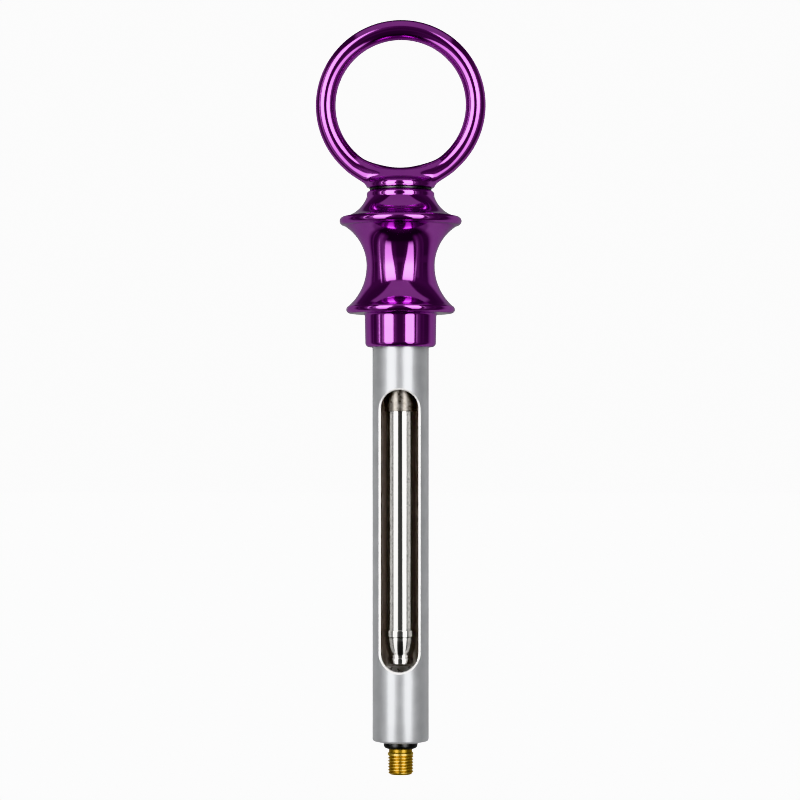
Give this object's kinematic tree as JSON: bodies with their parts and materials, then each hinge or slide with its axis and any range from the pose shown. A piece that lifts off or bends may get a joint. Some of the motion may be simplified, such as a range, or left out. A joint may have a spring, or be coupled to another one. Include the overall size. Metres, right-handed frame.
{
  "type": "dental syringe",
  "caption": "Cartridge dental syringe with thumb ring, finger grip, windowed barrel and threaded needle tip; the plunger slides and the barrel unscrews.",
  "frame": {"origin": "centre of the needle tip's end face, on the main axis", "axes": "+Z along the main axis from the needle tip to the thumb ring; the thumb ring lies in the XZ plane; the barrel's window looks towards -Y"},
  "size_m": [0.0344, 0.0248, 0.1524],
  "materials": {
    "brass": "turned and gold coloured",
    "black_rubber": "moulded, slight sheen",
    "satin_steel": "fine satin, bead blasted",
    "turned_steel": "as turned",
    "polished_steel": "mirror polished",
    "purple_anodised": "mirror polished, purple coloured",
    "white_ptfe": "machined"
  },
  "bodies": {
    "handle": {"finger_grip": "purple_anodised", "guide_sleeve": "turned_steel", "top_bush": "white_ptfe"},
    "rod_seal": {"rod_o_ring": "black_rubber"},
    "plunger": {"thumb_ring": "purple_anodised", "buffer_washer": "black_rubber", "plunger_rod": "polished_steel", "plunger_head": "polished_steel"},
    "collar_seal": {"collar_o_ring": "black_rubber"},
    "barrel": {"barrel": "satin_steel", "needle_adapter": "brass", "tip_washer": "black_rubber"}
  },
  "joints": [
    {"name": "plunger_spin", "type": "hinge", "parent": "handle", "child": "rod_seal", "pos_m": [0, 0, 0.105], "axis": [0, 0, 1], "continuous": true},
    {"name": "plunger_slide", "type": "slide", "parent": "rod_seal", "child": "plunger", "axis": [0, 0, 1], "range_m": [0, 0.0436]},
    {"name": "barrel_turn", "type": "hinge", "parent": "handle", "child": "collar_seal", "pos_m": [0, 0, 0.088], "axis": [0, 0, -1], "range_deg": [0, 2160]},
    {"name": "barrel_travel", "type": "slide", "parent": "collar_seal", "child": "barrel", "axis": [0, 0, -1], "range_m": [0, 0.006]}
  ],
  "couplings": [
    {"joint": "barrel_turn", "follows": "barrel_travel", "rad_per_m": 6283.2}
  ]
}
